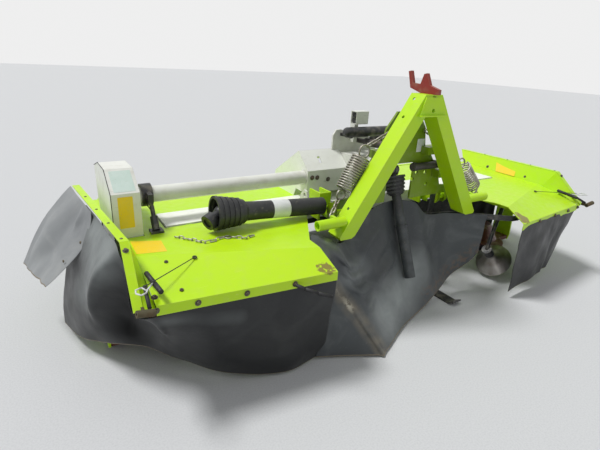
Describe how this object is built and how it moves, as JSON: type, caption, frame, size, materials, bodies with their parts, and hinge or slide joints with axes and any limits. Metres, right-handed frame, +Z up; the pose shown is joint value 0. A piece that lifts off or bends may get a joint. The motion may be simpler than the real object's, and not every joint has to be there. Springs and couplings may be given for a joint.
{
  "type": "front disc mower",
  "caption": "Front-mounted disc mower with sheet hoods, cloth skirts, a coupling triangle and a drive shaft in two halves, parked on its skids and stand.",
  "frame": {"origin": "centre of the bounding box, on the ground", "axes": "+X to the machine's right, along the cutter bar; +Y forward, away from the tractor; +Z up"},
  "size_m": [3.3608, 1.509, 1.283],
  "materials": {
    "green_paint": "sun-bleached gloss, scratched, rust at the edges",
    "white_paint": "dusty gloss",
    "black_paint": "satin",
    "red_paint": "worn, dark",
    "cream_paint": "matt",
    "worn_steel": "bright where worn, rusty elsewhere",
    "skirt_cloth": "dusty coated cloth",
    "black_plastic": "weathered"
  },
  "bodies": {
    "frame": {"cutter_bar": "red_paint", "cutter_bar_skids": "worn_steel", "carrier_beam": "white_paint", "end_plate_right": "green_paint", "end_plate_left": "green_paint", "belt_box": "white_paint", "end_gearbox": "black_paint", "drive_tube": "white_paint", "tube_clamp": "black_paint", "tensioner": "black_paint", "centre_gearbox": "white_paint", "centre_cover": "white_paint", "tower": "white_paint", "headstock": "green_paint", "lower_links": "green_paint", "beam_ears": "green_paint", "upper_link": "black_paint", "latches": "black_plastic", "latch_pivots": "green_paint", "cross_shafts": "black_paint", "accumulator": "black_paint", "hose_holder": "cream_paint", "triangle": "green_paint", "catch": "red_paint", "spring_left": "black_paint", "spring_chains_left": "worn_steel", "spring_right": "black_paint", "spring_chains_right": "worn_steel", "shaft_stowed": "black_plastic", "shaft_rest": "green_paint", "input_yoke": "worn_steel", "hood_right": "green_paint", "hood_left": "green_paint", "hood_arms_right": "green_paint", "hood_arms_left": "green_paint", "hood_front": "green_paint", "skirt_rear_left": "skirt_cloth", "skirt_centre": "skirt_cloth", "skirt_rear_right": "skirt_cloth", "skirt_side_right": "skirt_cloth", "skirt_flap_left": "skirt_cloth", "skirt_rail": "black_paint", "swath_arm_left": "black_paint", "swath_arm_right": "black_paint", "stand_sleeve": "green_paint"},
    "swath_disc_left": {"swath_disc_left": "worn_steel"},
    "swath_disc_right": {"swath_disc_right": "worn_steel"},
    "front_guard": {"front_guard": "green_paint", "skirt_front": "skirt_cloth"},
    "parking_stand": {"parking_stand": "black_paint"},
    "shaft_hanging": {"shaft_hanging": "black_plastic"},
    "disc_1": {"disc_1": "red_paint"},
    "disc_2": {"disc_2": "red_paint"},
    "disc_3": {"disc_3": "red_paint"},
    "disc_4": {"disc_4": "red_paint"},
    "disc_5": {"disc_5": "red_paint"},
    "disc_6": {"disc_6": "red_paint"},
    "disc_7": {"disc_7": "red_paint"}
  },
  "joints": [
    {"name": "disc_1_spin", "type": "hinge", "parent": "frame", "child": "disc_1", "pos_m": [-1.10863, -0.0495, 0.065], "axis": [0, 0, 1], "continuous": true},
    {"name": "disc_2_spin", "type": "hinge", "parent": "frame", "child": "disc_2", "pos_m": [-0.69563, -0.0495, 0.065], "axis": [0, 0, 1], "continuous": true},
    {"name": "disc_3_spin", "type": "hinge", "parent": "frame", "child": "disc_3", "pos_m": [-0.28263, -0.0495, 0.065], "axis": [0, 0, 1], "continuous": true},
    {"name": "disc_4_spin", "type": "hinge", "parent": "frame", "child": "disc_4", "pos_m": [0.13037, -0.0495, 0.065], "axis": [0, 0, 1], "continuous": true},
    {"name": "disc_5_spin", "type": "hinge", "parent": "frame", "child": "disc_5", "pos_m": [0.54337, -0.0495, 0.065], "axis": [0, 0, 1], "continuous": true},
    {"name": "disc_6_spin", "type": "hinge", "parent": "frame", "child": "disc_6", "pos_m": [0.95637, -0.0495, 0.065], "axis": [0, 0, 1], "continuous": true},
    {"name": "disc_7_spin", "type": "hinge", "parent": "frame", "child": "disc_7", "pos_m": [1.36937, -0.0495, 0.065], "axis": [0, 0, 1], "continuous": true},
    {"name": "swath_disc_left_spin", "type": "hinge", "parent": "frame", "child": "swath_disc_left", "pos_m": [-0.71963, -0.4395, 0.108], "axis": [0.755, -0.1, 0.648], "continuous": true},
    {"name": "swath_disc_right_spin", "type": "hinge", "parent": "frame", "child": "swath_disc_right", "pos_m": [0.98037, -0.4395, 0.108], "axis": [-0.755, -0.1, 0.648], "continuous": true},
    {"name": "front_guard_hinge", "type": "hinge", "parent": "frame", "child": "front_guard", "pos_m": [0.13037, 0.4955, 0.552], "axis": [1, 0, 0], "range_deg": [0, 90]},
    {"name": "parking_stand_slide", "type": "slide", "parent": "frame", "child": "parking_stand", "axis": [0, 0, 1], "range_m": [0, 0.12]},
    {"name": "shaft_hinge", "type": "hinge", "parent": "frame", "child": "shaft_hanging", "pos_m": [0.13037, -0.2445, 0.745], "axis": [-1, 0, 0], "range_deg": [0, 60]}
  ],
  "couplings": [
    {"joint": "disc_2_spin", "follows": "disc_1_spin", "ratio": -1},
    {"joint": "disc_3_spin", "follows": "disc_1_spin", "ratio": 1},
    {"joint": "disc_4_spin", "follows": "disc_1_spin", "ratio": -1},
    {"joint": "disc_5_spin", "follows": "disc_1_spin", "ratio": 1},
    {"joint": "disc_6_spin", "follows": "disc_1_spin", "ratio": -1},
    {"joint": "disc_7_spin", "follows": "disc_1_spin", "ratio": 1}
  ]
}
